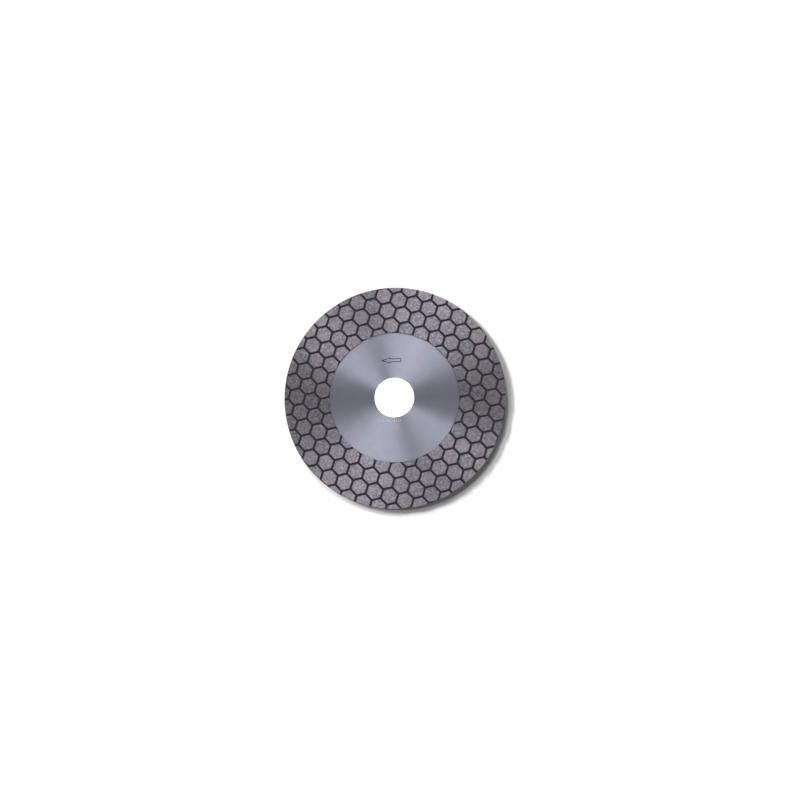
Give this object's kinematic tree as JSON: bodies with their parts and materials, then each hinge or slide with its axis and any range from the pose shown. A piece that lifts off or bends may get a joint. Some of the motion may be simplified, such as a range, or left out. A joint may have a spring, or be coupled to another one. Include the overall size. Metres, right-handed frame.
{
  "type": "diamond grinding wheel",
  "caption": "Flat double-sided diamond grinding wheel: a bare steel centre with a plain bore, an outer band of hexagonal diamond pads on both faces and a continuous diamond rim.",
  "frame": {"origin": "middle of the bore, on the wheel's mid-plane", "axes": "+Z along the bore axis, out of the marked front face; +Y from the bore towards the rotation arrow; +X to the right when the front is seen with the arrow at the top"},
  "size_m": [0.125, 0.125, 0.0022],
  "materials": {
    "turned_steel": "fine concentric turning marks, satin",
    "rim_bond": "ground sintered metal bond, matt and gritty",
    "groove_floor": "rough as-pressed bond, matt",
    "diamond_pad": "ground sintered metal bond with exposed diamond grit, matt with a faint sparkle"
  },
  "bodies": {
    "root": {"core_plate": "turned_steel", "rim_ring": "rim_bond", "front_bond_layer": "groove_floor", "back_bond_layer": "groove_floor", "front_centre_narrow_pads": "diamond_pad", "front_centre_wide_pads": "diamond_pad", "front_whole_inner_pads": "diamond_pad", "front_whole_middle_pads": "diamond_pad", "front_whole_outer_pads": "diamond_pad", "front_rim_wide_pads": "diamond_pad", "front_rim_middle_pads": "diamond_pad", "front_rim_narrow_pads": "diamond_pad", "back_centre_narrow_pads": "diamond_pad", "back_centre_wide_pads": "diamond_pad", "back_whole_inner_pads": "diamond_pad", "back_whole_middle_pads": "diamond_pad", "back_whole_outer_pads": "diamond_pad", "back_rim_wide_pads": "diamond_pad", "back_rim_middle_pads": "diamond_pad", "back_rim_narrow_pads": "diamond_pad"}
  },
  "joints": []
}
